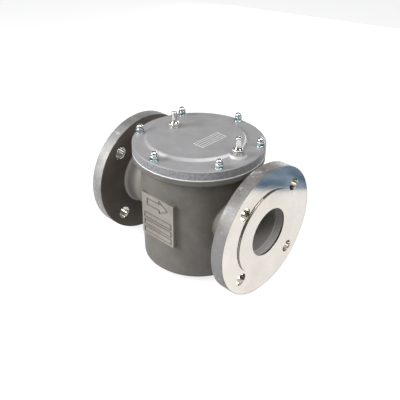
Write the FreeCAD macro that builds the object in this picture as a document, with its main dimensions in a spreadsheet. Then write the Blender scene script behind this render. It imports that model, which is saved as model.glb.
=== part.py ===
"""Flanged gas filter: a cast pot with a bolted cover, two test nipples and a pleated filter cartridge.

Millimetres. +X is the direction of flow, +Z is up, and the flat cast pad faces -Y. The origin is on the
ground that the flanges stand on, below the middle of the pipe axis.
"""

import FreeCAD, Part
import Sketcher
import math
import os
import re

doc = FreeCAD.newDocument("gas_filter")

SIZES = {
    # flanges and necks
    "face_to_face": 254,
    "flange_dia": 185,
    "flange_thick": 18,
    "raised_inside_holes": 2.5,
    "raised_high": 2,
    "port_bore": 69,
    "port_bore_deep": 13,
    "cast_bore": 67,
    "bolts_inside_edge": 20,
    "bolt_hole": 18,
    "bolt_count": 4,
    "neck_dia": 90,
    "neck_root": 3.5,
    # pot and rim
    "rim_dia": 183,
    "rim_thick": 9,
    "rim_overhang": 9.9,
    "rim_blend": 4,
    "joint_chamfer": 0.5,
    "joint_above_axis": 79.7,
    "pot_below_axis": 84.1,
    "pot_draft": 1.9,
    "pot_edge": 1.5,
    "pot_wall": 7.6,
    "pot_floor": 7,
    # cast pad on the front
    "pad_wide": 60,
    "pad_high": 66,
    "pad_behind_pot": 0.1,
    "pad_deep": 16,
    # seat bridge and outlet pocket inside the pot
    "seat_below_axis": 46,
    "seat_thick": 5,
    "seat_hole": 60,
    "well_gap": 4.45,
    "pocket_wall": 4,
    "pocket_angle": 110,
    "pocket_cheek_angle": 5,
    "pocket_above_axis": 41,
    # cover
    "cover_thick": 12.4,
    "cover_edge": 0.8,
    "cover_wall": 8,
    "recess_dia": 112,
    "plateau_shift": 7,
    "plateau_inside_rim": 24.5,
    "plateau_high": 4.2,
    "plateau_bevel": 3.5,
    "scallop_dia": 17,
    "spigot_deep": 4,
    "spigot_gap": 0.4,
    "clamp_below_joint": 9.2,
    "clamp_ring_dia": 72,
    "clamp_ring_wall": 4,
    # cover seal
    "seal_inside_studs": 7,
    "seal_section": 2.9,
    "seal_groove_wide": 3.8,
    # studs, washers and domed nuts
    "stud_count": 6,
    "stud_inside_rim": 7.5,
    "stud_first_angle": 30,
    "stud_dia": 6,
    "stud_deep": 8,
    "stud_hole_spare": 0.4,
    "stud_into_nut": 7.4,
    "cover_hole_dia": 6.8,
    "washer_dia": 12,
    "washer_thick": 1.6,
    "nut_flats": 10,
    "nut_hex_high": 5.5,
    "nut_high": 12,
    "nut_dome_dia": 9.4,
    "nut_dome_slope": 3,
    "nut_top_dia": 5,
    "nut_bore_deep": 8,
    # test nipples
    "inlet_nipple_at": 47,
    "outlet_nipple_inside_rim": 23.1,
    "nipple_boss_dia": 22,
    "nipple_boss_bevel": 1.5,
    "nipple_thread_dia": 8,
    "nipple_thread_long": 8,
    "nipple_hole_spare": 0.5,
    "nipple_passage": 3,
    "nipple_flats": 14,
    "nipple_hex_high": 4.5,
    "nipple_cone_high": 3,
    "nipple_cone_dia": 12.5,
    "tail_dia": 8,
    "tail_long": 12.2,
    "tail_taper": 1.5,
    "nipple_bore": 5,
    "ring_dia": 15,
    "ring_thick": 1.3,
    # closing screw inside each nipple
    "screw_long": 9,
    "screw_below_top": 3,
    "screw_tip_long": 2,
    "screw_tip_dia": 1.2,
    "screw_seat_gap": 0.1,
    "screw_slot_wide": 1,
    "screw_slot_deep": 1.5,
    # cartridge
    "gasket_thick": 3,
    "seat_gasket_dia": 84,
    "top_gasket_spare": 2,
    "cap_thick": 1.5,
    "cap_lip": 8,
    "cage_dia": 92,
    "cage_thick": 1,
    "tube_dia": 64,
    "pleat_count": 44,
    "pleat_sheet": 0.6,
    "pleat_gap": 0.3,
    # clearances
    "thread_gap": 0.05,
    "fit_gap": 0.05,
}

# Heights and places that follow from the driving sizes
DERIVED = {
    "axis_z": "=flange_dia / 2",
    "bolt_circle": "=flange_dia - 2 * bolts_inside_edge",
    "raised_dia": "=bolt_circle - bolt_hole - 2 * raised_inside_holes",
    "joint_z": "=axis_z + joint_above_axis",
    "pot_top_dia": "=rim_dia - 2 * rim_overhang",
    "pot_bottom_dia": "=pot_top_dia - 2 * pot_draft",
    "pot_bore": "=pot_top_dia - 2 * pot_wall",
    "pad_face": "=pot_top_dia / 2 - pad_behind_pot",
    "stud_circle": "=rim_dia - 2 * stud_inside_rim",
    "seal_circle": "=stud_circle - 2 * seal_inside_studs",
    "plateau_dia": "=rim_dia - 2 * plateau_inside_rim",
    "outlet_nipple_at": "=rim_dia / 2 - outlet_nipple_inside_rim",
    "pot_bottom_z": "=axis_z - pot_below_axis",
    "seat_z": "=axis_z - seat_below_axis",
    "seat_under_z": "=seat_z - seat_thick",
    "pocket_top_z": "=axis_z + pocket_above_axis",
    "rim_under_z": "=joint_z - rim_thick",
    "cover_top_z": "=joint_z + cover_thick",
    "plateau_z": "=cover_top_z + plateau_high",
    "recess_z": "=plateau_z - cover_wall",
    "clamp_z": "=joint_z - clamp_below_joint",
    "nut_seat_z": "=cover_top_z + washer_thick",
    "face_x": "=face_to_face / 2",
    "flange_front_x": "=face_x - raised_high",
    "flange_back_x": "=flange_front_x - flange_thick",
    "cartridge_z": "=seat_z + gasket_thick",
    "cartridge_top_z": "=clamp_z - gasket_thick",
    "pleats_z": "=cartridge_z + cap_thick",
    "pleats_high": "=cartridge_top_z - cap_thick - pleats_z",
    "lip_inner_dia": "=cage_dia + 2 * fit_gap",
    "cap_dia": "=lip_inner_dia + 2 * cap_thick",
    "well_dia": "=cap_dia + 2 * well_gap",
    "cap_opening_dia": "=tube_dia - 2 * cage_thick",
    "nipple_z": "=plateau_z + ring_thick",
    "nipple_hex_z": "=nipple_z + nipple_hex_high",
    "nipple_cone_z": "=nipple_hex_z + nipple_cone_high",
    "tail_taper_z": "=nipple_cone_z + tail_long",
    "nipple_top_z": "=tail_taper_z + tail_taper",
    "screw_top_z": "=nipple_top_z - screw_below_top",
    "screw_end_z": "=screw_top_z - screw_long",
    "screw_dia": "=nipple_bore - 2 * thread_gap",
}

sheet = doc.addObject("Spreadsheet::Sheet", "Sizes")
for row, (alias, content) in enumerate({**SIZES, **DERIVED}.items(), start=1):
    sheet.set(f"A{row}", alias)
    sheet.set(f"B{row}", str(content))
    sheet.setAlias(f"B{row}", alias)
doc.recompute()

NAME = re.compile(r"[a-z]+(?:_[a-z]+)+")


def size(formula):
    """The number that a formula of the sheet's names gives now."""
    return float(sheet.evalExpression(str(formula)))


def bind(thing, prop, formula):
    """Ties one property of an object to a formula of the sheet's names."""
    thing.setExpression(prop, NAME.sub(lambda found: "Sizes." + found.group(), str(formula)))


def new_body(label):
    body = doc.addObject("PartDesign::Body", label)
    body.Label = label
    return body


def origin_part(body, role):
    return next(part for part in body.Origin.OriginFeatures if part.Role == role)


def attach(feature, body, role, shift):
    """Lays a feature on one of its body's own planes, moved along that plane's axes by formulas."""
    feature.AttachmentSupport = [(origin_part(body, role), "")]
    feature.MapMode = "FlatFace"
    for axis, formula in zip("xyz", shift):
        if formula != 0:
            bind(feature, f"AttachmentOffset.Base.{axis}", formula)


def outline(body, name, loops, role="XZ_Plane", shift=(0, 0, 0)):
    """A sketch of closed straight-sided loops, whose corners are formulas from the sketch's origin."""
    sketch = body.newObject("Sketcher::SketchObject", name)
    attach(sketch, body, role, shift)
    for corners in loops:
        first = sketch.GeometryCount
        places = [FreeCAD.Vector(size(u), size(v), 0) for u, v in corners]
        for start, end in zip(places, places[1:] + places[:1]):
            sketch.addGeometry(Part.LineSegment(start, end), False)
        for i, (u, v) in enumerate(corners):
            following = first + (i + 1) % len(corners)
            sketch.addConstraint(Sketcher.Constraint("Coincident", first + i, 2, following, 1))
            hold(sketch, first + i, 1, u, v)
    return sketch


def hold(sketch, geometry, point, u, v):
    """Holds one point of a sketch at two formulas from the sketch's origin."""
    for kind, axis, formula in (("DistanceX", -2, u), ("DistanceY", -1, v)):
        if formula == 0:
            sketch.addConstraint(Sketcher.Constraint("PointOnObject", geometry, point, axis))
            continue
        value = size(formula)
        index = sketch.addConstraint(Sketcher.Constraint(kind, -1, 1, geometry, point, value))
        bind(sketch, f"Constraints[{index}]", formula)


def revolve(body, name, corners, axis="V_Axis", cut=False, shift=(0, 0, 0)):
    """Turns an outline in the XZ plane into a round form, or cuts that form away."""
    sketch = outline(body, name + "_outline", [corners], shift=shift)
    feature = body.newObject("PartDesign::Groove" if cut else "PartDesign::Revolution", name)
    feature.Profile = sketch
    feature.ReferenceAxis = (sketch, [axis])
    feature.Angle = 360


def pad(body, name, loops, length, role="XY_Plane", shift=(0, 0, 0), cut=False, backwards=False):
    """Raises an outline by a length, or sinks it into the body."""
    sketch = outline(body, name + "_outline", loops, role, shift)
    feature = body.newObject("PartDesign::Pocket" if cut else "PartDesign::Pad", name)
    feature.Profile = sketch
    bind(feature, "Length", length)
    feature.Reversed = backwards


def round_hole(body, name, centre, diameter, depth, role="XY_Plane", shift=(0, 0, 0), backwards=False):
    sketch = body.newObject("Sketcher::SketchObject", name + "_outline")
    attach(sketch, body, role, shift)
    middle = FreeCAD.Vector(size(centre[0]), size(centre[1]), 0)
    sketch.addGeometry(Part.Circle(middle, FreeCAD.Vector(0, 0, 1), size(diameter) / 2), False)
    hold(sketch, 0, 3, *centre)
    index = sketch.addConstraint(Sketcher.Constraint("Diameter", 0, size(diameter)))
    bind(sketch, f"Constraints[{index}]", diameter)
    pocket = body.newObject("PartDesign::Pocket", name)
    pocket.Profile = sketch
    bind(pocket, "Length", depth)
    pocket.Reversed = backwards
    return pocket


def repeat_round(body, feature, count):
    """Repeats a feature round its sketch's own normal."""
    pattern = body.newObject("PartDesign::PolarPattern", feature.Name + "_pattern")
    pattern.Originals = [feature]
    pattern.Axis = (feature.Profile[0], ["N_Axis"])
    pattern.Angle = 360
    bind(pattern, "Occurrences", count)
    body.Tip = pattern


def cylinder(body, name, diameter, height, at, cut=False, top_diameter=None, angle=None):
    """A round primitive on the XY plane; with a top diameter it is a cone, with an angle a sector."""
    kind = "Cone" if top_diameter else "Cylinder"
    feature = body.newObject(f"PartDesign::{'Subtractive' if cut else 'Additive'}{kind}", name)
    feature.AttachmentOffset = FreeCAD.Placement(FreeCAD.Vector(), FreeCAD.Rotation(FreeCAD.Vector(0, 0, -1), 1))
    attach(feature, body, "XY_Plane", at)
    bind(feature, "AttachmentOffset.Rotation.Angle", f"({angle}) / 2" if angle else "0")
    if top_diameter:
        bind(feature, "Radius1", f"({diameter}) / 2")
        bind(feature, "Radius2", f"({top_diameter}) / 2")
    else:
        bind(feature, "Radius", f"({diameter}) / 2")
    if angle:
        bind(feature, "Angle", angle)
    bind(feature, "Height", height)


def hexagon(flats):
    """The corners of a hexagon from its width across flats."""
    corner = f"{flats} / 2 / cos(30)"
    corners = []
    for turn in range(0, 360, 60):
        up = f"{corner} * sin({turn})" if turn % 180 else 0
        corners.append((f"{corner} * cos({turn})", up))
    return corners


def copies_node(label, shapes):
    """One node of separate solids."""
    node = doc.addObject("Part::Feature", label)
    node.Label = label
    node.Shape = Part.makeCompound(shapes)
    return node


def ring_of_copies(label, body, count, first_angle):
    """A body's shape, turned about the Z axis to each place of a circle."""
    shapes = []
    for i in range(int(size(count))):
        copy = body.Shape.copy()
        copy.rotate(FreeCAD.Vector(), FreeCAD.Vector(0, 0, 1), size(first_angle) + 360 / size(count) * i)
        shapes.append(copy)
    return copies_node(label, shapes)


def row_of_copies(label, body, places):
    """A body's shape, moved along the X axis to each place."""
    shapes = []
    for place in places:
        copy = body.Shape.copy()
        copy.translate(FreeCAD.Vector(size(place), 0, 0))
        shapes.append(copy)
    return copies_node(label, shapes)


def filter_body():
    """The casting's pot with its rim and the flat pad on its front, open to both necks."""
    body = new_body("filter_body")
    revolve(body, "pot", [
        (0, "pot_bottom_z"), ("pot_bottom_dia / 2 - pot_edge", "pot_bottom_z"),
        ("pot_bottom_dia / 2", "pot_bottom_z + pot_edge"), ("pot_top_dia / 2", "rim_under_z - rim_blend"),
        ("pot_top_dia / 2 + rim_blend", "rim_under_z"), ("rim_dia / 2", "rim_under_z"),
        ("rim_dia / 2", "joint_z - joint_chamfer"), ("rim_dia / 2 - joint_chamfer", "joint_z"), (0, "joint_z")])
    pad(body, "front_pad", [[
        ("-pad_wide / 2", "axis_z - pad_high / 2"), ("pad_wide / 2", "axis_z - pad_high / 2"),
        ("pad_wide / 2", "axis_z + pad_high / 2"), ("-pad_wide / 2", "axis_z + pad_high / 2")]],
        "pad_deep", role="XZ_Plane", shift=(0, 0, "pad_face"), backwards=True)
    floor_z = "pot_bottom_z + pot_floor"
    revolve(body, "chamber", [
        (0, floor_z), ("pot_bore / 2", floor_z), ("pot_bore / 2", "joint_z"), (0, "joint_z")], cut=True)
    revolve(body, "neck_openings", [
        ("-flange_back_x", 0), ("-flange_back_x", "cast_bore / 2"), ("flange_back_x", "cast_bore / 2"),
        ("flange_back_x", 0)], axis="H_Axis", cut=True, shift=(0, "axis_z", 0))
    stud_place = ("stud_circle / 2 * cos(stud_first_angle)", "stud_circle / 2 * sin(stud_first_angle)")
    hole = round_hole(body, "stud_hole", stud_place, "stud_dia + 2 * thread_gap", "stud_deep + stud_hole_spare",
                      shift=(0, 0, "joint_z"))
    repeat_round(body, hole, "stud_count")
    inner = "seal_circle / 2 - seal_groove_wide / 2"
    outer = "seal_circle / 2 + seal_groove_wide / 2"
    revolve(body, "seal_groove", [
        (inner, "joint_z - seal_section"), (outer, "joint_z - seal_section"), (outer, "joint_z"),
        (inner, "joint_z")], cut=True)
    return body


def flange(label, sign):
    """One flange of the casting with its neck, whose end lies on the pot: mouth, raised face, bolt holes."""
    body = new_body(label)
    mouth = "face_x - port_bore_deep"
    corners = [
        (0, "cast_bore / 2"), (mouth, "cast_bore / 2"), (mouth, "port_bore / 2"), ("face_x", "port_bore / 2"),
        ("face_x", "raised_dia / 2"), ("flange_front_x", "raised_dia / 2"), ("flange_front_x", "flange_dia / 2"),
        ("flange_back_x", "flange_dia / 2"), ("flange_back_x", "neck_dia / 2 + neck_root"),
        ("flange_back_x - neck_root", "neck_dia / 2"), (0, "neck_dia / 2")]
    corners = [(f"{sign}({x})" if x else 0, radius) for x, radius in corners]
    revolve(body, label + "_disc", corners, axis="H_Axis", shift=(0, "axis_z", 0))
    low, high = "pot_bottom_z + pot_edge", "rim_under_z - rim_blend"
    revolve(body, label + "_pot_side", [
        (0, low), ("pot_bottom_dia / 2", low), ("pot_top_dia / 2", high), (0, high)], cut=True)
    hole_place = ("bolt_circle / 2 * cos(45)", "bolt_circle / 2 * sin(45)")
    hole = round_hole(body, label + "_bolt_hole", hole_place, "bolt_hole", "flange_thick", role="YZ_Plane",
                      shift=(0, "axis_z", f"{sign}flange_front_x"), backwards=bool(sign))
    repeat_round(body, hole, "bolt_count")
    return body


def seat_bridge():
    """The casting's inner plate that the cartridge stands on, open below the outlet pocket."""
    body = new_body("seat_bridge")
    cylinder(body, "seat_plate", "pot_bore", "seat_thick", (0, 0, "seat_under_z"))
    cylinder(body, "pocket_floor", "pot_bore", "seat_thick", (0, 0, "seat_under_z"), cut=True,
             angle="pocket_angle")
    cylinder(body, "plate_middle", "well_dia", "seat_thick", (0, 0, "seat_under_z"))
    cylinder(body, "seat_opening", "seat_hole", "seat_thick", (0, 0, "seat_under_z"), cut=True)
    return body


def outlet_pocket():
    """The casting's curved inner wall that leads the clean gas from below the seat up to the outlet."""
    body = new_body("outlet_pocket")
    high = "pocket_top_z - seat_under_z"
    cylinder(body, "pocket_block", "pot_bore", high, (0, 0, "seat_under_z"), angle="pocket_angle")
    cylinder(body, "pocket_hollow", "pot_bore", f"{high} - pocket_wall", (0, 0, "seat_under_z"),
             cut=True, angle="pocket_angle - 2 * pocket_cheek_angle")
    cylinder(body, "pocket_front", "well_dia + 2 * pocket_wall", high, (0, 0, "seat_under_z"), angle="pocket_angle")
    cylinder(body, "cartridge_well", "well_dia", high, (0, 0, "seat_under_z"), cut=True)
    return body


def cover():
    body = new_body("cover")
    ring_in = "clamp_ring_dia / 2 - clamp_ring_wall"
    spigot = "pot_bore / 2 - spigot_gap"
    revolve(body, "disc", [
        (0, "recess_z"), (ring_in, "recess_z"), (ring_in, "clamp_z"), ("clamp_ring_dia / 2", "clamp_z"),
        ("clamp_ring_dia / 2", "recess_z"), ("recess_dia / 2", "recess_z"),
        ("recess_dia / 2", "joint_z - spigot_deep"), (spigot, "joint_z - spigot_deep"), (spigot, "joint_z"),
        ("rim_dia / 2", "joint_z"), ("rim_dia / 2", "cover_top_z - cover_edge"),
        ("rim_dia / 2 - cover_edge", "cover_top_z"), (0, "cover_top_z")])
    cylinder(body, "plateau", "plateau_dia + 2 * plateau_bevel", "plateau_high",
             ("-plateau_shift", 0, "cover_top_z"), top_diameter="plateau_dia")
    cylinder(body, "outlet_boss", "nipple_boss_dia + 2 * nipple_boss_bevel", "plateau_high",
             ("outlet_nipple_at", 0, "cover_top_z"), top_diameter="nipple_boss_dia")
    for name, steps in (("rear", 2), ("front", 3)):
        angle = f"stud_first_angle + {steps} * 360 / stud_count"
        cylinder(body, f"{name}_scallop", "scallop_dia", "plateau_high",
                 (f"stud_circle / 2 * cos({angle})", f"stud_circle / 2 * sin({angle})", "cover_top_z"), cut=True)
    for side, place in (("inlet", "-inlet_nipple_at"), ("outlet", "outlet_nipple_at")):
        deep = "nipple_thread_long - ring_thick + nipple_hole_spare"
        cylinder(body, f"{side}_thread_hole", "nipple_thread_dia + 2 * thread_gap", deep,
                 (place, 0, f"plateau_z - ({deep})"), cut=True)
        cylinder(body, f"{side}_passage", "nipple_passage", "plateau_z - joint_z + spigot_deep",
                 (place, 0, "joint_z - spigot_deep"), cut=True)
    stud_place = ("stud_circle / 2 * cos(stud_first_angle)", "stud_circle / 2 * sin(stud_first_angle)")
    hole = round_hole(body, "stud_clearance", stud_place, "cover_hole_dia", "cover_thick",
                      shift=(0, 0, "cover_top_z"))
    repeat_round(body, hole, "stud_count")
    return body


def flat_ring(label, inner_dia, outer_dia, low, high, at=0):
    body = new_body(label)
    revolve(body, label + "_ring", [
        (f"({inner_dia}) / 2", low), (f"({outer_dia}) / 2", low), (f"({outer_dia}) / 2", high),
        (f"({inner_dia}) / 2", high)], shift=(at, 0, 0))
    return body


def stud():
    body = new_body("stud_pattern")
    cylinder(body, "stud_rod", "stud_dia", "nut_seat_z + stud_into_nut - joint_z + stud_deep",
             ("stud_circle / 2", 0, "joint_z - stud_deep"))
    return body


def dome_nut():
    """A hexagon with a closed cap, bored for the stud."""
    body = new_body("nut_pattern")
    at = "stud_circle / 2"
    hex_top = "nut_seat_z + nut_hex_high"
    top = "nut_seat_z + nut_high"
    pad(body, "nut_hexagon", [hexagon("nut_flats")], "nut_hex_high", shift=(at, 0, "nut_seat_z"))
    revolve(body, "nut_cap", [
        (0, hex_top), ("nut_dome_dia / 2", hex_top), ("nut_dome_dia / 2", f"{top} - nut_dome_slope"),
        ("nut_top_dia / 2", top), (0, top)], shift=(at, 0, 0))
    cylinder(body, "nut_thread", "stud_dia + 2 * thread_gap", "nut_bore_deep", (at, 0, "nut_seat_z"), cut=True)
    return body


def test_nipple():
    """A hose tail on a hexagon, bored for its closing screw, with a conical seat below it."""
    body = new_body("nipple_pattern")
    pad(body, "nipple_hexagon", [hexagon("nipple_flats")], "nipple_hex_high", shift=(0, 0, "nipple_z"))
    revolve(body, "nipple_tail", [
        (0, "nipple_z - nipple_thread_long"), ("nipple_thread_dia / 2", "nipple_z - nipple_thread_long"),
        ("nipple_thread_dia / 2", "nipple_hex_z"), ("nipple_cone_dia / 2", "nipple_hex_z"),
        ("tail_dia / 2", "nipple_cone_z"), ("tail_dia / 2", "tail_taper_z"),
        ("tail_dia / 2 - tail_taper / 2", "nipple_top_z"), (0, "nipple_top_z")])
    seat = "screw_end_z - screw_seat_gap"
    slope = "screw_tip_long / (screw_dia / 2 - screw_tip_dia / 2)"
    revolve(body, "nipple_bore", [
        (0, "nipple_top_z"), ("nipple_bore / 2", "nipple_top_z"), ("nipple_bore / 2", seat),
        ("nipple_passage / 2", f"{seat} - (nipple_bore / 2 - nipple_passage / 2) * {slope}"),
        ("nipple_passage / 2", "nipple_z - nipple_thread_long"), (0, "nipple_z - nipple_thread_long")], cut=True)
    return body


def bleed_screw(label, at):
    body = new_body(label)
    revolve(body, label + "_rod", [
        (0, "screw_end_z - screw_tip_long"), ("screw_tip_dia / 2", "screw_end_z - screw_tip_long"),
        ("screw_dia / 2", "screw_end_z"), ("screw_dia / 2", "screw_top_z"), (0, "screw_top_z")], shift=(at, 0, 0))
    pad(body, label + "_slot", [[
        ("-screw_dia", "-screw_slot_wide / 2"), ("screw_dia", "-screw_slot_wide / 2"),
        ("screw_dia", "screw_slot_wide / 2"), ("-screw_dia", "screw_slot_wide / 2")]],
        "screw_slot_deep", shift=(at, 0, "screw_top_z"), cut=True)
    return body


def top_cap():
    body = new_body("top_cap")
    low = "cartridge_top_z - cap_lip"
    revolve(body, "top_cap_cup", [
        (0, "cartridge_top_z - cap_thick"), ("lip_inner_dia / 2", "cartridge_top_z - cap_thick"),
        ("lip_inner_dia / 2", low), ("cap_dia / 2", low), ("cap_dia / 2", "cartridge_top_z"),
        (0, "cartridge_top_z")])
    return body


def bottom_cap():
    body = new_body("bottom_cap")
    high = "cartridge_z + cap_lip"
    revolve(body, "bottom_cap_cup", [
        ("cap_opening_dia / 2", "cartridge_z"), ("cap_dia / 2", "cartridge_z"), ("cap_dia / 2", high),
        ("lip_inner_dia / 2", high), ("lip_inner_dia / 2", "cartridge_z + cap_thick"),
        ("cap_opening_dia / 2", "cartridge_z + cap_thick")])
    return body


def pleated_media():
    """One folded sheet: an even zigzag between the inner tube and the outer cage, closed all round."""
    outer = size("cage_dia / 2 - cage_thick - pleat_gap")
    inner = size("tube_dia / 2 + pleat_gap")
    count = int(size("pleat_count"))
    half_turn = math.pi / count
    across = math.hypot(outer - inner * math.cos(half_turn), inner * math.sin(half_turn))
    radial = size("pleat_sheet") * across / (math.sin(half_turn) * (outer + inner) / 2)
    tall = FreeCAD.Vector(0, 0, size("pleats_high"))
    solids = []
    for tip, root in ((outer, inner + radial), (outer - radial, inner)):
        points = []
        for i in range(2 * count + 1):
            reach = root if i % 2 else tip
            turn = i * half_turn
            points.append(FreeCAD.Vector(reach * math.cos(turn), reach * math.sin(turn), size("pleats_z")))
        points[-1] = points[0]
        solids.append(Part.Face(Part.makePolygon(points)).extrude(tall))
    node = doc.addObject("Part::Feature", "filter_media")
    node.Label = "filter_media"
    node.Shape = solids[0].cut(solids[1])
    return node


def build():
    nodes = [filter_body(), flange("inlet_flange", "-"), flange("outlet_flange", ""), seat_bridge()]
    nodes += [outlet_pocket(), cover()]
    nodes.append(flat_ring("cover_seal", "seal_circle - seal_section", "seal_circle + seal_section",
                           "joint_z - seal_section", "joint_z"))
    for side, at in (("inlet", "-inlet_nipple_at"), ("outlet", "outlet_nipple_at")):
        nodes.append(bleed_screw(f"{side}_bleed_screw", at))
    nodes += [top_cap(), bottom_cap(), pleated_media()]
    for label, diameter in (("outer_cage", "cage_dia"), ("inner_tube", "tube_dia")):
        nodes.append(flat_ring(label, f"{diameter} - 2 * cage_thick", diameter, "pleats_z",
                               "pleats_z + pleats_high"))
    nodes.append(flat_ring("seat_gasket", "seat_hole", "seat_gasket_dia", "seat_z", "cartridge_z"))
    nodes.append(flat_ring("top_gasket", "clamp_ring_dia - 2 * clamp_ring_wall - 2 * top_gasket_spare",
                           "clamp_ring_dia + 2 * top_gasket_spare", "cartridge_top_z", "clamp_z"))
    in_circle = {"cover_studs": stud(), "dome_nuts": dome_nut()}
    in_circle["nut_washers"] = flat_ring("washer_pattern", "cover_hole_dia", "washer_dia",
                                         "cover_top_z", "nut_seat_z", at="stud_circle / 2")
    in_row = {"test_nipples": test_nipple()}
    in_row["nipple_seals"] = flat_ring("seal_pattern", "nipple_thread_dia + 2 * thread_gap", "ring_dia",
                                       "plateau_z", "nipple_z")
    doc.recompute()
    for label, body in in_circle.items():
        nodes.append(ring_of_copies(label, body, "stud_count", "stud_first_angle"))
    for label, body in in_row.items():
        nodes.append(row_of_copies(label, body, ("-inlet_nipple_at", "outlet_nipple_at")))
    doc.recompute()
    return nodes


def write(nodes):
    """Checks every object and shape, then writes one file for each node."""
    for thing in doc.Objects:
        if {"Invalid", "Error"} & set(thing.State):
            raise RuntimeError(f"{thing.Label} could not be built: {thing.State}")
    for node in nodes:
        shape = node.Shape
        if shape.isNull() or not shape.isValid() or not shape.Solids:
            raise RuntimeError(f"{node.Label} has no sound shape")
    os.makedirs("parts", exist_ok=True)
    for node in nodes:
        node.Shape.exportStep(f"parts/{node.Label}.step")
        print(f"{node.Label}: {len(node.Shape.Solids)} solids, {node.Shape.Volume / 1000:.2f} cm3")


write(build())
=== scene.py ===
"""Looks of the flanged gas filter: cast body, satin cover, bright nuts and nipples, white table.

Metres, in the frame of the CAD model: +X with the flow, +Z up, the cast pad faces -Y.
"""

import math

import bmesh
import bpy
from mathutils import Matrix, Vector


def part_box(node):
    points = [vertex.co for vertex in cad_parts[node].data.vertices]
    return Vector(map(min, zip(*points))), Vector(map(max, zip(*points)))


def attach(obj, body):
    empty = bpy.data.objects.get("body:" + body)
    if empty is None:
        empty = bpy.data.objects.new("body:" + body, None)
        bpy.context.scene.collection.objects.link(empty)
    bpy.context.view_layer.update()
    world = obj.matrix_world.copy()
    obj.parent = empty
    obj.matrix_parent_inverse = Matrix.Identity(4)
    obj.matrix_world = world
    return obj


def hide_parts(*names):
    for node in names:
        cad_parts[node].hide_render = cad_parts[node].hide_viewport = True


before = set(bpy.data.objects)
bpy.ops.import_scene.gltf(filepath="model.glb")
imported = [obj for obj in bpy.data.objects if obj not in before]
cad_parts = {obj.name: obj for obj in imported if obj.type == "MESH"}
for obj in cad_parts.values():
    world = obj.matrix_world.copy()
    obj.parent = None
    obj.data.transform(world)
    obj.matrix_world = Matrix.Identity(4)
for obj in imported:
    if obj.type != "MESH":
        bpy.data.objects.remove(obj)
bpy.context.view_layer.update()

MM = 0.001

# heights above the ground
AXIS_Z = 0.0925
JOINT_Z = 0.1722
COVER_TOP_Z = 0.1846
NUT_SEAT_Z = 0.1862
PLATEAU_Z = 0.1888
NIPPLE_Z = 0.1901

# flanges: distances from the pot's middle along the flow, and radii round the pipe axis
BORE_START_X = 0.079
FLANGE_BACK_X = 0.107
MOUTH_START_X = 0.1139
RAISED_STEP_X = 0.1245
STEP_WALL_X = 0.1261
BORE_RADIUS = 0.0345
NECK_RADIUS = 0.054
RAISED_RADIUS = 0.061
FLANGE_RADIUS = 0.0925
HOLE_RADIUS = 0.009
HOLE_OFFSET = 0.05127

# cast pad on the pot's front
PAD_FACE_Y = -0.0815
PAD_ROOT_Y = -0.06
PAD_HALF_HEIGHT = 0.0335
PAD_HALF_WIDTH = 0.0325

# cover, with its nuts and nipples
COVER_SIDE_RADIUS = 0.0905
STUD_RADIUS = 0.084
STUD_FIRST_ANGLE = math.radians(30)
STUD_COUNT = 6
NIPPLE_PLACES = (-0.047, 0.0684)

SMOOTH_ANGLE = math.radians(35)
# bare metal of the joint's edges, made near white as a painted highlight
BARE_EDGE_HIGHLIGHT = (0.95, 0.95, 0.96)


# ---------------------------------------------------------------- materials

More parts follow.
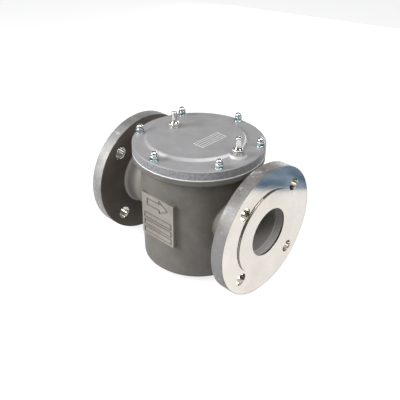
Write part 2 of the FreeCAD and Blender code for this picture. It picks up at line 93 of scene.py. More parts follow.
class Finish:
    """One material and the few kinds of node that these metals need."""

    def __init__(self, name):
        self.material = bpy.data.materials.new(name)
        self.material.use_nodes = True
        self.tree = self.material.node_tree
        self.shader = self.tree.nodes["Principled BSDF"]
        self.place = self.tree.nodes.new("ShaderNodeTexCoord").outputs["Object"]

    def node(self, kind, inputs=(), **settings):
        """A new node with its settings; inputs are (socket, number or other node's output)."""
        node = self.tree.nodes.new("ShaderNode" + kind)
        for key, value in settings.items():
            setattr(node, key, value)
        for socket, value in inputs:
            if isinstance(value, bpy.types.NodeSocket):
                self.tree.links.new(value, node.inputs[socket])
            else:
                node.inputs[socket].default_value = value
        return node

    def math(self, operation, first, second=0.0, third=0.0):
        pairs = ((0, first), (1, second), (2, third))
        return self.node("Math", pairs, operation=operation).outputs[0]

    def above(self, value, limit):
        """Mask of what lies above a limit."""
        return self.math("GREATER_THAN", value, limit)

    def below(self, value, limit):
        """Mask of what lies below a limit."""
        return self.math("LESS_THAN", value, limit)

    def both(self, first, second):
        """Mask of where two masks meet."""
        return self.math("MULTIPLY", first, second)

    def vector(self, operation, first, second=(0, 0, 0)):
        return self.node("VectorMath", ((0, first), (1, second)), operation=operation).outputs[0]

    def length(self, vector):
        return self.node("VectorMath", ((0, vector),), operation="LENGTH").outputs["Value"]

    def axes(self):
        """The three coordinates of a point, in metres."""
        return self.node("SeparateXYZ", ((0, self.place),)).outputs[:]

    def radius(self, centre, across=(0, 1, 1)):
        """Distance from an axis through centre, in metres."""
        moved = self.vector("SUBTRACT", self.place, centre)
        return self.length(self.vector("MULTIPLY", moved, across))

    def noise(self, scale, detail=4.0, rough=0.55, at=None, stretch=(1, 1, 1)):
        """Noise between 0 and 1 in object space; scale counts waves in a metre."""
        mapping = self.node("Mapping", (("Vector", at or self.place), ("Scale", stretch)))
        inputs = (("Vector", mapping.outputs[0]), ("Scale", scale), ("Detail", detail),
                  ("Roughness", rough))
        return self.node("TexNoise", inputs).outputs[0]

    def shade(self, factor, stops):
        """Colours along a factor: stops are (place, (r, g, b))."""
        ramp = self.node("ValToRGB", ((0, factor),))
        elements = ramp.color_ramp.elements
        while len(elements) < len(stops):
            elements.new(0.5)
        for element, (place, colour) in zip(elements, stops):
            element.position = place
            element.color = (*colour, 1)
        return ramp.outputs[0]

    def blend(self, factor, first, second, kind="MIX"):
        """Two colours mixed by a factor."""
        mix = self.node("Mix", ((0, factor),), data_type="RGBA", blend_type=kind)
        for index, value in ((6, first), (7, second)):
            if isinstance(value, bpy.types.NodeSocket):
                self.tree.links.new(value, mix.inputs[index])
            else:
                mix.inputs[index].default_value = (*value, 1)
        return mix.outputs[2]

    def between(self, factor, first, second):
        """Two grey values mixed by a factor."""
        return self.node("Mix", ((0, factor), (2, first), (3, second))).outputs[0]

    def span(self, value, low, high, from_low=0.0, from_high=1.0):
        """A value between from_low and from_high, turned into one between low and high."""
        inputs = ((0, value), (1, from_low), (2, from_high), (3, low), (4, high))
        return self.node("MapRange", inputs).outputs[0]

    def relief(self, height, strength, distance, rounding=None):
        """Bumps of a height map, over edges rounded by a radius."""
        inputs = (("Height", height), ("Strength", strength), ("Distance", distance))
        bump = self.node("Bump", inputs)
        if rounding is not None:
            edge = self.node("Bevel", (("Radius", rounding),), samples=8)
            self.tree.links.new(edge.outputs[0], bump.inputs["Normal"])
        self.set("Normal", bump.outputs[0])

    def set(self, socket, value):
        if isinstance(value, bpy.types.NodeSocket):
            self.tree.links.new(value, self.shader.inputs[socket])
        elif isinstance(value, tuple):
            self.shader.inputs[socket].default_value = (*value, 1)
        else:
            self.shader.inputs[socket].default_value = value


def cast_skin(finish, dark, light):
    """Colour and height of blasted castings: cloudy stains over a fine sandy grain."""
    cloud = finish.noise(28, 5.0, 0.6)
    sand = finish.noise(900, 3.0, 0.7)
    colour = finish.shade(cloud, ((0.32, dark), (0.68, light)))
    speck = finish.shade(sand, ((0.3, (0.78, 0.78, 0.78)), (0.7, (1.0, 1.0, 1.0))))
    return finish.blend(1.0, colour, speck, "MULTIPLY"), sand


def inner_casting():
    """Raw casting inside the pot, never blasted clean."""
    finish = Finish("inner_casting")
    colour, sand = cast_skin(finish, (0.34, 0.325, 0.30), (0.44, 0.425, 0.40))
    finish.set("Base Color", colour)
    finish.set("Metallic", 0.3)
    finish.set("Roughness", finish.span(sand, 0.5, 0.66))
    finish.relief(sand, 0.35, 0.0004, 0.0015)
    return finish.material


def rim_skin(finish, flow, level):
    """Skin of the flanges' rims: painted lighter at the inlet and darker at the outlet as painted
    light, with painted shade on the inlet's top and foot.
    """
    skin = finish.shade(finish.noise(26, 5.0, 0.65),
                        ((0.36, (0.18, 0.165, 0.15)), (0.62, (0.32, 0.315, 0.31))))
    # painted light: the inlet rim is made lighter and the outlet rim darker
    tone = finish.span(flow, 1.22, 0.80, -0.11, 0.11)
    # painted shade: the inlet rim darkens towards its top and its foot
    from_middle = finish.math("ABSOLUTE", finish.math("SUBTRACT", level, AXIS_Z + 0.0125))
    painted_shade = finish.both(finish.span(from_middle, 0.0, 0.42, 0.035, 0.080), finish.below(flow, 0.0))
    return finish.blend(1.0, skin, finish.math("SUBTRACT", tone, painted_shade), "MULTIPLY")


def bolt_holes(finish, along):
    """Mask of the drilled holes of both flanges."""
    quarter = finish.vector("SUBTRACT", finish.place, (0, 0, AXIS_Z))
    quarter = finish.vector("ABSOLUTE", quarter)
    offset = finish.vector("SUBTRACT", quarter, (0, HOLE_OFFSET, HOLE_OFFSET))
    from_hole = finish.length(finish.vector("MULTIPLY", offset, (0, 1, 1)))
    return finish.both(finish.below(from_hole, HOLE_RADIUS + 0.00015),
                       finish.above(along, FLANGE_BACK_X - 0.0004))


def body_casting():
    """Blasted casting with bare rims, turned sealing faces, bored mouths and drilled holes, and
    painted light and shade on its neck, flanges, pad and joint edge.
    """
    finish = Finish("body_casting")
    flow, side, level = finish.axes()
    along = finish.math("ABSOLUTE", flow)
    radius = finish.radius((0, 0, AXIS_Z))
    skin, sand = cast_skin(finish, (0.175, 0.162, 0.144), (0.25, 0.236, 0.215))
    # painted light: the inlet neck is painted the lightest part of the skin, in place of light that
    # does not reach it
    painted_light_neck = finish.both(finish.below(radius, NECK_RADIUS),
                          finish.span(flow, 1.0, 0.0, -0.082, -0.070))
    skin = finish.blend(painted_light_neck, skin, (0.42, 0.40, 0.375))
    # the flanges' backs get a darker, browner skin as painted shade; their rims are ground a little
    # brighter, with painted light and shade from rim_skin
    on_flange = finish.above(along, FLANGE_BACK_X - 0.0006)
    on_rim = finish.both(finish.above(radius, FLANGE_RADIUS - 0.0004), on_flange)
    painted_shade_back = finish.shade(finish.noise(24, 4.0, 0.6),
                             ((0.35, (0.10, 0.083, 0.070)), (0.7, (0.15, 0.128, 0.11))))
    colour = finish.blend(on_flange, skin, painted_shade_back)
    colour = finish.blend(on_rim, colour, rim_skin(finish, flow, level))
    # scuffed spots on the rims
    spots = finish.span(finish.noise(95, 5.0, 0.75), 0.0, 1.0, 0.60, 0.68)
    colour = finish.blend(finish.both(spots, on_rim), colour, (0.62, 0.62, 0.64))
    # machined joint: a turned face, with a thin bare edge under the cover, painted near white as
    # bare metal with a painted highlight
    bare = finish.both(finish.above(level, JOINT_Z - 0.0010),
                       finish.below(along, FLANGE_BACK_X - 0.003))
    joint_face = finish.both(finish.above(level, JOINT_Z - 0.0001), bare)
    colour = finish.blend(bare, colour, BARE_EDGE_HIGHLIGHT)
    colour = finish.blend(joint_face, colour, (0.66, 0.65, 0.63))
    # painted light: the pad's face is painted nearly twice as light as the skin round it
    pad_levels = finish.both(finish.above(level, AXIS_Z - PAD_HALF_HEIGHT),
                             finish.below(level, AXIS_Z + PAD_HALF_HEIGHT))
    on_pad = finish.both(finish.below(side, PAD_FACE_Y + 0.0006), pad_levels)
    on_pad = finish.both(on_pad, finish.below(along, PAD_HALF_WIDTH - 0.002))
    colour = finish.blend(on_pad, colour, (1.95, 1.91, 1.86), "MULTIPLY")
    # bore, and the mouth that the tool has reached
    bore = finish.both(finish.below(radius, BORE_RADIUS + 0.0002),
                       finish.above(along, BORE_START_X))
    in_mouth = finish.both(bore, finish.above(along, MOUTH_START_X))
    colour = finish.blend(bore, colour, (0.34, 0.325, 0.305))
    colour = finish.blend(in_mouth, colour, (0.50, 0.48, 0.46))
    # turned faces and drilled holes; the little wall of the raised face keeps the dark cast skin as
    # painted shade along the step
    on_face = finish.both(finish.above(along, RAISED_STEP_X),
                          finish.below(radius, FLANGE_RADIUS - 0.0006))
    painted_shade_step_wall = finish.both(finish.math("COMPARE", radius, RAISED_RADIUS, 0.0004),
                            finish.math("COMPARE", along, STEP_WALL_X, 0.0008))
    cut = finish.math("MAXIMUM", finish.math("SUBTRACT", on_face, painted_shade_step_wall),
                      bolt_holes(finish, along))
    turned_metal = finish.shade(finish.noise(30, 3.0, 0.6),
                                ((0.3, (0.68, 0.635, 0.575)), (0.7, (0.755, 0.715, 0.66))))
    finish.set("Base Color", finish.blend(cut, colour, turned_metal))
    finish.set("Metallic", finish.span(finish.math("MAXIMUM", cut, joint_face), 0.25, 1.0))
    # fine rings left by the lathe
    rings = finish.noise(1900, 2.0, 0.6, at=finish.node("CombineXYZ", ((0, radius),)).outputs[0])
    rough_cast = finish.math("SUBTRACT", finish.span(on_rim, 0.62, 0.5),
                             finish.math("MULTIPLY", joint_face, 0.3))
    finish.set("Roughness", finish.between(cut, rough_cast, finish.span(rings, 0.06, 0.13)))
    height = finish.between(cut, sand, finish.math("MULTIPLY", rings, 0.25))
    # soft roots at the necks and under the rim, crisp edges elsewhere
    pad_block = finish.both(finish.both(finish.below(side, PAD_ROOT_Y),
                                        finish.below(along, PAD_HALF_WIDTH)), pad_levels)
    soft = finish.both(finish.below(along, FLANGE_BACK_X + 0.0002),
                       finish.below(level, JOINT_Z - 0.006))
    soft = finish.both(soft, finish.math("SUBTRACT", 1.0, pad_block))
    finish.relief(height, 0.30, 0.0003, finish.span(soft, 0.0003, 0.0038))
    return finish.material


def cover_casting():
    """Shot-blasted cover: a mottled top with a painted highlight on the slope round its raised
    middle, a rougher sparkling side, and a bare lower edge painted near white as a painted
    highlight.
    """
    finish = Finish("cover_casting")
    flow, _, level = finish.axes()
    radius = finish.radius((0, 0, 0), across=(1, 1, 0))
    cloud = finish.noise(38, 6.0, 0.65)
    sand = finish.noise(1100, 3.0, 0.7)
    grit = finish.noise(420, 4.0, 0.75)
    colour = finish.shade(cloud, ((0.3, (0.285, 0.28, 0.283)), (0.7, (0.345, 0.341, 0.347))))
    on_side = finish.both(finish.below(level, COVER_TOP_Z - 0.0009),
                          finish.above(radius, COVER_SIDE_RADIUS))
    side_colour = finish.shade(grit, ((0.38, (0.23, 0.232, 0.242)), (0.64, (0.41, 0.414, 0.43))))
    colour = finish.blend(on_side, colour, side_colour)
    # painted highlight: the slope round the raised middle is painted lighter, most of all at the
    # outlet
    highlight_slope = finish.span(level, 0.0, 1.0, COVER_TOP_Z + 0.0002, COVER_TOP_Z + 0.0012)
    highlight_slope = finish.both(highlight_slope, finish.span(level, 1.0, 0.0, PLATEAU_Z - 0.0009, PLATEAU_Z - 0.0001))
    painted_highlight = finish.blend(1.0, colour, finish.span(flow, 1.10, 2.0, 0.02, 0.06), "MULTIPLY")
    colour = finish.blend(highlight_slope, colour, painted_highlight)
    # the bare lower edge is painted near white: bare metal with a painted highlight
    bare = finish.both(finish.below(level, JOINT_Z + 0.0007), on_side)
    finish.set("Base Color", finish.blend(bare, colour, BARE_EDGE_HIGHLIGHT))
    finish.set("Metallic", 0.22)
    finish.set("Roughness", finish.span(cloud, 0.46, 0.56))
    height = finish.between(on_side, finish.math("MULTIPLY", sand, 0.3), grit)
    on_step = finish.above(level, COVER_TOP_Z - 0.0002)
    finish.relief(height, 0.4, 0.0003, finish.span(on_step, 0.0006, 0.0028))
    return finish.material


def bright_metal(name, dark, light, roughness, streaks=160):
    """Plated or bare metal, a little uneven in tone and gloss; streaks counts waves in a metre."""
    finish = Finish(name)
    tone = finish.noise(streaks, 3.0, 0.6)
    finish.set("Base Color", finish.shade(tone, ((0.3, dark), (0.7, light))))
    finish.set("Metallic", 1.0)
    finish.set("Roughness", finish.span(tone, roughness * 0.8, roughness * 1.3))
    finish.relief(finish.noise(300, 2.0, 0.5), 0.05, 0.0001, 0.0003)
    return finish.material


def nut_plating():
    """Bright zinc on the domes over a darker, greener hexagon; the zinc has a blue-green tint, and
    the hexagon's deeper teal is a painted reflection.
    """
    finish = Finish("nut_plating")
    level = finish.axes()[2]
    tone = finish.noise(300, 3.0, 0.6)
    dome = finish.shade(tone, ((0.3, (0.52, 0.56, 0.57)), (0.7, (0.68, 0.71, 0.72))))
    block = finish.shade(tone, ((0.3, (0.34, 0.43, 0.43)), (0.7, (0.47, 0.56, 0.56))))
    # painted reflection: the hexagon is painted darker and greener than the dome
    on_block = finish.below(level, NUT_SEAT_Z + 0.0056)
    finish.set("Base Color", finish.blend(on_block, dome, block))
    finish.set("Metallic", 1.0)
    finish.set("Roughness", finish.span(tone, 0.10, 0.2))
    finish.relief(finish.noise(250, 2.0, 0.5), 0.04, 0.0001, 0.0004)
    return finish.material


def sealing_rubber():
    """Black rubber with a faint grey bloom."""
    finish = Finish("sealing_rubber")
    bloom = finish.noise(180, 3.0, 0.6)
    colour = finish.shade(bloom, ((0.3, (0.018, 0.018, 0.018)), (0.7, (0.035, 0.034, 0.032))))
    finish.set("Base Color", colour)
    finish.set("Roughness", finish.span(bloom, 0.55, 0.75))
    finish.relief(bloom, 0.1, 0.0002)
    return finish.material


def pleated_fleece():
    """Off-white filter fleece, its fibres drawn out along the pleats."""
    finish = Finish("pleated_fleece")
    fibres = finish.noise(1500, 4.0, 0.7, stretch=(1, 1, 0.3))
    colour = finish.shade(fibres, ((0.3, (0.66, 0.64, 0.58)), (0.7, (0.82, 0.80, 0.74))))
    finish.set("Base Color", colour)
    finish.set("Roughness", 0.9)
    finish.set("Sheen Weight", 0.15)
    finish.relief(fibres, 0.4, 0.0004)
    return finish.material


def painted_shade_marks():
    """Raised marks on the pad, painted darker than the pad's lightened face round them, as painted
    shade on the raised letters.
    """
    finish = Finish("painted_shade_marks")
    colour, sand = cast_skin(finish, (0.19, 0.18, 0.165), (0.27, 0.258, 0.24))
    finish.set("Base Color", colour)
    finish.set("Metallic", 0.3)
    finish.set("Roughness", finish.span(sand, 0.45, 0.6))
    finish.relief(sand, 0.3, 0.0003, 0.00025)
    return finish.material


def label_ink():
    """Pale print of the label's lines."""
    finish = Finish("label_lines")
    tone = finish.noise(300, 2.0, 0.5)
    colour = finish.shade(tone, ((0.3, (0.74, 0.74, 0.74)), (0.7, (0.84, 0.84, 0.84))))
    finish.set("Base Color", colour)
    finish.set("Metallic", 0.3)
    finish.set("Roughness", finish.span(tone, 0.35, 0.5))
    return finish.material


BODY = body_casting()
INNER = inner_casting()
COVER = cover_casting()
ZINC = bright_metal("zinc_plate", (0.60, 0.64, 0.65), (0.78, 0.81, 0.82), 0.2)
NICKEL = bright_metal("nickel_plate", (0.58, 0.565, 0.54), (0.70, 0.68, 0.65), 0.12)
SOFT_RING = bright_metal("soft_seal_ring", (0.55, 0.55, 0.55), (0.66, 0.66, 0.66), 0.35)
SHEET_STEEL = bright_metal("galvanised_sheet", (0.50, 0.51, 0.52), (0.64, 0.65, 0.66), 0.32,
                           streaks=60)
RUBBER = sealing_rubber()
FLEECE = pleated_fleece()
LABEL = label_ink()
NUTS = nut_plating()
MARKS = painted_shade_marks()

NODE_FINISH = {
    "filter_body": BODY,
    "inlet_flange": BODY,
    "outlet_flange": BODY,
    "seat_bridge": INNER,
    "outlet_pocket": INNER,
    "cover": COVER,
    "cover_studs": ZINC,
    "nut_washers": ZINC,
    "dome_nuts": ZINC,
    "cover_seal": RUBBER,
    "test_nipples": NICKEL,
    "inlet_bleed_screw": NICKEL,
    "outlet_bleed_screw": NICKEL,
    "nipple_seals": SOFT_RING,
    "top_cap": SHEET_STEEL,
    "bottom_cap": SHEET_STEEL,
    "outer_cage": SHEET_STEEL,
    "inner_tube": SHEET_STEEL,
    "filter_media": FLEECE,
    "seat_gasket": RUBBER,
    "top_gasket": RUBBER,
}


def dress_nodes():
    """Gives every CAD node its material."""
    for name, material in NODE_FINISH.items():
        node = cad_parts[name]
        for material_slot in node.material_slots:
            material_slot.material = material
        if not node.material_slots:
            node.data.materials.append(material)


# ------------------------------------------------------------------- pieces

def add_object(name, data):
    """A new object of the scene, at the origin."""
    added = bpy.data.objects.new(name, data)
    bpy.context.scene.collection.objects.link(added)
    return added


def mesh_object(name, mesh_edit, material):
    """Turns a bmesh into an object with one material."""
    mesh = bpy.data.meshes.new(name)
    mesh_edit.to_mesh(mesh)
    mesh_edit.free()
    mesh.materials.append(material)
    return add_object(name, mesh)


def finish_piece(name, mesh_edit, material, body, recalculate=True):
    """Turns a bmesh into a piece of the part that rides on a CAD body."""
    if recalculate:
        bmesh.ops.recalc_face_normals(mesh_edit, faces=mesh_edit.faces)
    piece = mesh_object(name, mesh_edit, material)
    mesh = piece.data
    # a copy of CAD meshes brings their own normals along, which no longer fit
    if "custom_normal" in mesh.attributes:
        mesh.attributes.remove(mesh.attributes["custom_normal"])
    mesh.shade_smooth()
    mesh.set_sharp_from_angle(angle=SMOOTH_ANGLE)
    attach(piece, body)
    return piece


def whole(mesh_edit):
    """All corners, edges and faces of a bmesh."""
    return list(mesh_edit.verts) + list(mesh_edit.edges) + list(mesh_edit.faces)


def corners_in(items):
    """The corners among the items that an operator returns."""
    return [item for item in items if isinstance(item, bmesh.types.BMVert)]


def tag_faces(mesh_edit):
    """Marks all faces as done, so that the next shape is told from them."""
    for face in mesh_edit.faces:
        face.tag = True


def body_shell():
    """Pot, necks and flanges as the one casting they are, so that their roots run together."""
    mesh_edit = bmesh.new()
    names = ("filter_body", "inlet_flange", "outlet_flange")
    for name in names:
        mesh_edit.from_mesh(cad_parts[name].data)
    bmesh.ops.remove_doubles(mesh_edit, verts=mesh_edit.verts, dist=2e-6)
    shell = finish_piece("body_shell", mesh_edit, BODY, "housing",
                         recalculate=False)
    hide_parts(*names)


def spin_profile(mesh_edit, profile, centre, steps):
    """Spins a profile of (radius, height) in millimetres round the vertical through centre."""
    points = [mesh_edit.verts.new(Vector((r * MM, 0, z * MM))) for r, z in profile]
    edges = [mesh_edit.edges.new(pair) for pair in zip(points, points[1:])]
    bmesh.ops.spin(mesh_edit, geom=points + edges, cent=(0, 0, 0), axis=(0, 0, 1),
                   angle=math.tau, steps=steps, use_merge=True)
    new_corners = {v for face in mesh_edit.faces for v in face.verts if not face.tag}
    bmesh.ops.translate(mesh_edit, verts=list(new_corners), vec=centre)
    tag_faces(mesh_edit)
    bmesh.ops.remove_doubles(mesh_edit, verts=mesh_edit.verts, dist=1e-6)


def hexagon(mesh_edit, flats, low, high, centre, bevel):
    """A hexagonal block with its top and bottom edges eased, sizes in millimetres."""
    half_side = math.pi / 6
    bottom = bmesh.ops.create_circle(mesh_edit, cap_ends=True, segments=6,
                                     radius=flats * MM / 2 / math.cos(half_side))["verts"]
    face = bottom[0].link_faces[0]
    bmesh.ops.rotate(mesh_edit, verts=bottom, cent=(0, 0, 0),
                     matrix=Matrix.Rotation(half_side, 3, "Z"))
    bmesh.ops.translate(mesh_edit, verts=bottom, vec=Vector(centre) + Vector((0, 0, low * MM)))
    raised = bmesh.ops.extrude_face_region(mesh_edit, geom=[face], use_keep_orig=True)
    top = corners_in(raised["geom"])
    bmesh.ops.translate(mesh_edit, verts=top, vec=(0, 0, (high - low) * MM))
    rings = [edge for edge in mesh_edit.edges
             if any(all(corner in end for corner in edge.verts) for end in (top, bottom))]
    bmesh.ops.bevel(mesh_edit, geom=rings, offset=bevel * MM, segments=2, profile=0.5,
                    affect="EDGES", material=-1)
    tag_faces(mesh_edit)


def stud_places():
    """The centres of the studs, evenly round the cover."""
    for i in range(STUD_COUNT):
        turn = STUD_FIRST_ANGLE + math.tau / STUD_COUNT * i
        yield Vector((STUD_RADIUS * math.cos(turn), STUD_RADIUS * math.sin(turn), 0))


def domed_nuts():
    """Six domed cap nuts: hexagon, narrow waist and a round cap. Sizes in millimetres."""
    mesh_edit = bmesh.new()
    seat = NUT_SEAT_Z / MM
    flats, block_height, eased = 10, 5.6, 0.5
    cap_radius, waist_radius, root = 4.7, 4.2, seat + 5.3
    cap_centre = seat + 7.3
    cap_steps = 8
    dome = [(0, cap_centre + cap_radius)]
    for step in range(1, cap_steps + 1):
        turn = math.radians(90 - step * 90 / cap_steps)
        dome.append((cap_radius * math.cos(turn), cap_centre + cap_radius * math.sin(turn)))
    dome += [(cap_radius, seat + 6.6), (waist_radius, seat + 6.2), (waist_radius, root), (0, root)]
    for place in stud_places():
        hexagon(mesh_edit, flats, seat, seat + block_height, place, eased)
        spin_profile(mesh_edit, dome, place, 32)
    nuts = finish_piece("domed_nuts", mesh_edit, NUTS, "cover_set")
    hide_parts("dome_nuts")


def hose_nipples():
    """Two test nipples: threaded root, hexagon, flared skirt and a hose tail with a round mouth."""
    mesh_edit = bmesh.new()
    seat = NIPPLE_Z / MM
    top = seat + 21.2
    flats, block_height, eased = 14, 4.5, 0.5
    bore = [(0, top - 6.0), (2.5, top - 6.0), (2.5, top - 1.0)]
    mouth = [(2.4, top - 0.7), (2.6, top - 0.2), (3.0, top), (3.5, top - 0.3), (3.9, top - 1.0)]
    tail = [(4.0, top - 1.8), (4.0, top - 13.0)]
    skirt = [(4.6, top - 14.4), (5.7, top - 15.6), (6.3, top - 16.6), (6.3, top - 17.0),
             (0, top - 17.0)]
    thread = [(0, seat + 0.2), (4.0, seat + 0.2), (4.0, seat - 8), (1.5, seat - 8),
              (1.5, seat - 7), (0, seat - 7)]
    for place in NIPPLE_PLACES:
        centre = Vector((place, 0, 0))
        hexagon(mesh_edit, flats, seat, seat + block_height, centre, eased)
        spin_profile(mesh_edit, bore + mouth + tail + skirt, centre, 36)
        spin_profile(mesh_edit, thread, centre, 24)
    nipples = finish_piece("hose_nipples", mesh_edit, NICKEL, "cover_set")
    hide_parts("test_nipples")


def perforated_tube(name, node, columns, rows, hole_radius):
    """A punched sheet bent into a tube in the place of a plain CAD tube, its holes staggered."""
    low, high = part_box(node)
    radius, bottom, top = high[0], low[2], high[2]
    wide, tall = math.tau * radius / columns, (top - bottom) / rows
    merge_distance, sheet = 0.01 * MM, 1.0 * MM
    mesh_edit = bmesh.new()
    # one cell of the sheet: a round hole in a field of eight faces
    bmesh.ops.create_circle(mesh_edit, segments=8, radius=hole_radius)
    field = bmesh.ops.create_circle(mesh_edit, segments=8, radius=1)["verts"]
    for corner in field:
        corner.co.x = wide / 2 * max(-1, min(1, corner.co.x * 1.5))
        corner.co.y = tall / 2 * max(-1, min(1, corner.co.y * 1.5))
    bmesh.ops.bridge_loops(mesh_edit, edges=mesh_edit.edges)
    # cells stacked to a column, columns set side by side, each second one half a cell lower
    cell = whole(mesh_edit)
    for i in range(1, rows + 2):
        copy = bmesh.ops.duplicate(mesh_edit, geom=cell)["geom"]
        bmesh.ops.translate(mesh_edit, verts=corners_in(copy), vec=(0, i * tall, 0))
    column = whole(mesh_edit)
    for i in range(1, columns):
        copy = bmesh.ops.duplicate(mesh_edit, geom=column)["geom"]
        bmesh.ops.translate(mesh_edit, verts=corners_in(copy),
                            vec=(i * wide, -tall / 2 * (i % 2), 0))
    bmesh.ops.remove_doubles(mesh_edit, verts=mesh_edit.verts, dist=merge_distance)
    # cut to length, rolled up and closed along its seam
    for level, direction in ((0, -1), (top - bottom, 1)):
        bmesh.ops.bisect_plane(mesh_edit, geom=whole(mesh_edit), plane_co=(0, level, 0),
                               plane_no=(0, direction, 0), clear_outer=True)
    for vert in mesh_edit.verts:
        turn = vert.co.x / radius
        vert.co = (radius * math.cos(turn), radius * math.sin(turn), bottom + vert.co.y)
    bmesh.ops.remove_doubles(mesh_edit, verts=mesh_edit.verts, dist=merge_distance)
    bmesh.ops.recalc_face_normals(mesh_edit, faces=mesh_edit.faces)
    bmesh.ops.solidify(mesh_edit, geom=list(mesh_edit.faces), thickness=sheet)
    tube = finish_piece(name, mesh_edit, SHEET_STEEL, "cartridge")
    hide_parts(node)


def raised_strip(mesh_edit, corners, normal, thick, inset=None):
    """A flat raised strip from its corners in metres; with an inset only its border is raised."""
    face = mesh_edit.faces.new([mesh_edit.verts.new(corner) for corner in corners])
    face.normal_update()
    border = [face]
    if inset:
        border = bmesh.ops.inset_individual(mesh_edit, faces=[face], thickness=inset,
                                            use_even_offset=True)["faces"]
        bmesh.ops.delete(mesh_edit, geom=[face], context="FACES_ONLY")
    raised = bmesh.ops.extrude_face_region(mesh_edit, geom=border, use_keep_orig=True)
    bmesh.ops.translate(mesh_edit, verts=corners_in(raised["geom"]), vec=Vector(normal) * thick)


def box_corners(left, right, low, high):
    """The four corners of a rectangle, as pairs, in turn."""
    return (left, low), (right, low), (right, high), (left, high)


def cover_label():
    """The bare label on the raised middle of the cover: a thin outline with ruled lines."""
    mesh_edit = bmesh.new()
    middle_x, middle_y, wide, tall = 0.0175, 0.003, 0.0175, 0.048
    left, right = middle_x - wide / 2, middle_x + wide / 2
    front, back = middle_y - tall / 2, middle_y + tall / 2
    up, thick, outline, half_line, margin = (0, 0, 1), 0.25 * MM, 0.9 * MM, 0.4 * MM, 0.002
    columns = 4

    def on_plateau(points):
        return [Vector((x, y, PLATEAU_Z - 0.05 * MM)) for x, y in points]

    raised_strip(mesh_edit, on_plateau(box_corners(left, right, front, back)), up, thick,
                 inset=outline)
    for i in range(1, columns):
        x = left + wide * i / columns
        line = box_corners(x - half_line, x + half_line, front + margin, back - margin)
        raised_strip(mesh_edit, on_plateau(line), up, thick)
    finish_piece("cover_label", mesh_edit, LABEL, "cover_set")


def pad_marks():
    """Raised marks on the cast pad: a flow arrow and three bare frames under it."""
    mesh_edit = bmesh.new()
    outwards = (0, -1, 0)

    def on_pad(points):
        return [Vector((x * MM, PAD_FACE_Y + 0.1 * MM, AXIS_Z + z * MM)) for x, z in points]

    arrow = [(-20, 16), (3, 16), (3, 11), (21, 21.5), (3, 32), (3, 27), (-20, 27)]
    raised_strip(mesh_edit, on_pad(arrow), outwards, 1.0 * MM, inset=1.3 * MM)
    for low in (-5.5, -17.5, -29.5):
        bare_frame = box_corners(-26, 26, low, low + 9)
        raised_strip(mesh_edit, on_pad(bare_frame), outwards, 0.9 * MM, inset=1.1 * MM)
    finish_piece("pad_marks", mesh_edit, MARKS, "housing")


# -------------------------------------------------------------------- stage

def table_top():
    """A white table that keeps a faint shadow and reads as plain white, in gloss as well."""
    mesh_edit = bmesh.new()
    bmesh.ops.create_grid(mesh_edit, x_segments=1, y_segments=1, size=3)
    finish = Finish("white_table")
    finish.set("Base Color", (0.30, 0.30, 0.30))
    finish.set("Roughness", 0.9)
    ray = finish.node("LightPath").outputs
    shown = finish.math("MAXIMUM", ray["Is Camera Ray"], ray["Is Glossy Ray"])
    finish.set("Emission Color", (1.0, 1.0, 1.0))
    finish.set("Emission Strength", finish.math("MULTIPLY", shown, 0.80))
    mesh_object("table_top", mesh_edit, finish.material)


def mirror_card(name, place, turn, size, waves, dark, light):
    """A coloured sheet on the table that only glossy metal mirrors; waves in a metre."""
    mesh_edit = bmesh.new()
    bmesh.ops.create_grid(mesh_edit, x_segments=1, y_segments=1, size=0.5)
    bmesh.ops.scale(mesh_edit, vec=(*size, 1.0), verts=mesh_edit.verts)
    turning = Matrix.Rotation(math.radians(turn), 3, "Z")
    bmesh.ops.rotate(mesh_edit, cent=(0, 0, 0), matrix=turning, verts=mesh_edit.verts)
    bmesh.ops.translate(mesh_edit, vec=place, verts=mesh_edit.verts)
    finish = Finish(name)
    finish.set("Base Color", (0.02, 0.03, 0.04))
    finish.set("Roughness", 0.9)
    patches = finish.noise(waves, 6.0, 0.7)
    finish.set("Emission Color", finish.shade(patches, ((0.44, dark), (0.58, light))))
    finish.set("Emission Strength", 0.8)
    card = mesh_object(name, mesh_edit, finish.material)
    card.visible_camera = False
    card.visible_diffuse = False
    card.visible_shadow = False
    card.visible_transmission = False


def soft_box(name, place, target, size, watts):
    """A rectangular lamp at a place, turned towards a target."""
    light = bpy.data.lights.new(name, "AREA")
    light.shape = "RECTANGLE"
    light.size, light.size_y = size
    light.energy = watts
    lamp = add_object(name, light)
    lamp.location = place
    lamp.rotation_euler = (Vector(target) - Vector(place)).to_track_quat("-Z", "Y").to_euler()


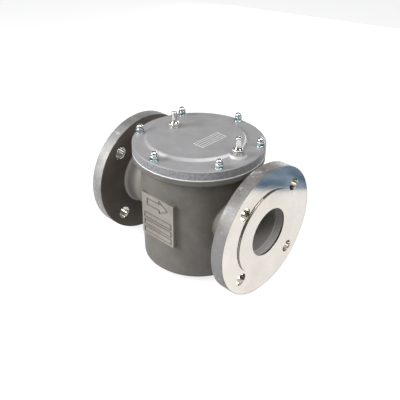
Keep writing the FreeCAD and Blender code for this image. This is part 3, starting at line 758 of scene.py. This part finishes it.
def studio():
    """A dim grey room that the camera sees as white, with five soft boxes."""
    world = bpy.data.worlds.new("studio")
    bpy.context.scene.world = world
    world.use_nodes = True
    nodes, links = world.node_tree.nodes, world.node_tree.links
    room = nodes["Background"]
    room.inputs["Color"].default_value = (0.50, 0.51, 0.53, 1)
    room.inputs["Strength"].default_value = 0.33
    backdrop = nodes.new("ShaderNodeBackground")
    backdrop.inputs["Color"].default_value = (1, 1, 1, 1)
    mixer = nodes.new("ShaderNodeMixShader")
    ray = nodes.new("ShaderNodeLightPath")
    links.new(ray.outputs["Is Camera Ray"], mixer.inputs[0])
    links.new(room.outputs[0], mixer.inputs[1])
    links.new(backdrop.outputs[0], mixer.inputs[2])
    links.new(mixer.outputs[0], nodes["World Output"].inputs[0])
    soft_box("left_front_box", (-0.8, -1.2, 0.85), (0, 0, 0.1), (0.7, 0.7), 26)
    soft_box("top_box", (0.25, -0.35, 1.45), (0, 0, 0.15), (0.9, 0.9), 9)
    soft_box("back_box", (-0.75, 0.8, 0.75), (0, 0, 0.15), (1.0, 0.7), 0.7)
    soft_box("low_back_box", (-0.35, 1.35, 0.15), (0, 0, 0.06), (1.2, 0.28), 7)
    soft_box("right_box", (0.85, 0.1, 1.1), (0, 0, 0.15), (0.6, 0.6), 7)


def camera():
    """The photograph's view, fitted to the flanges and the cover."""
    azimuth, elevation, roll = (math.radians(angle) for angle in (42.09, 32.26, 0.99))
    target, distance = Vector((0.01877, -0.0168, 0.10291)), 0.8
    flat = math.cos(elevation)
    back = Vector((math.sin(azimuth) * flat, -math.cos(azimuth) * flat, math.sin(elevation)))
    right = Vector((math.cos(azimuth), math.sin(azimuth), 0))
    up = back.cross(right)
    rolled_right = right * math.cos(roll) + up * math.sin(roll)
    rolled_up = up * math.cos(roll) - right * math.sin(roll)
    lens = bpy.data.cameras.new("camera")
    lens.lens = 51.344
    lens.sensor_width = 36
    lens.clip_start = 0.01
    eye = add_object("camera", lens)
    turn = Matrix((rolled_right, rolled_up, back)).transposed().to_4x4()
    eye.matrix_world = Matrix.Translation(target + back * distance) @ turn
    bpy.context.scene.camera = eye


dress_nodes()
body_shell()
domed_nuts()
hose_nipples()
perforated_tube("punched_cage", "outer_cage", columns=48, rows=18, hole_radius=0.0021)
perforated_tube("punched_inner_tube", "inner_tube", columns=34, rows=18, hole_radius=0.0021)
cover_label()
pad_marks()
table_top()
mirror_card("blue_card", (0.36, 0.28, 0.002), turn=-45, size=(1.0, 0.22), waves=30,
            dark=(0.03, 0.10, 0.21), light=(0.44, 0.57, 0.72))
mirror_card("dark_card", (-0.22, -0.36, 0.002), turn=-32, size=(0.6, 0.30), waves=8,
            dark=(0.06, 0.06, 0.06), light=(0.12, 0.12, 0.12))
studio()
camera()
bpy.context.scene.view_settings.view_transform = "Standard"
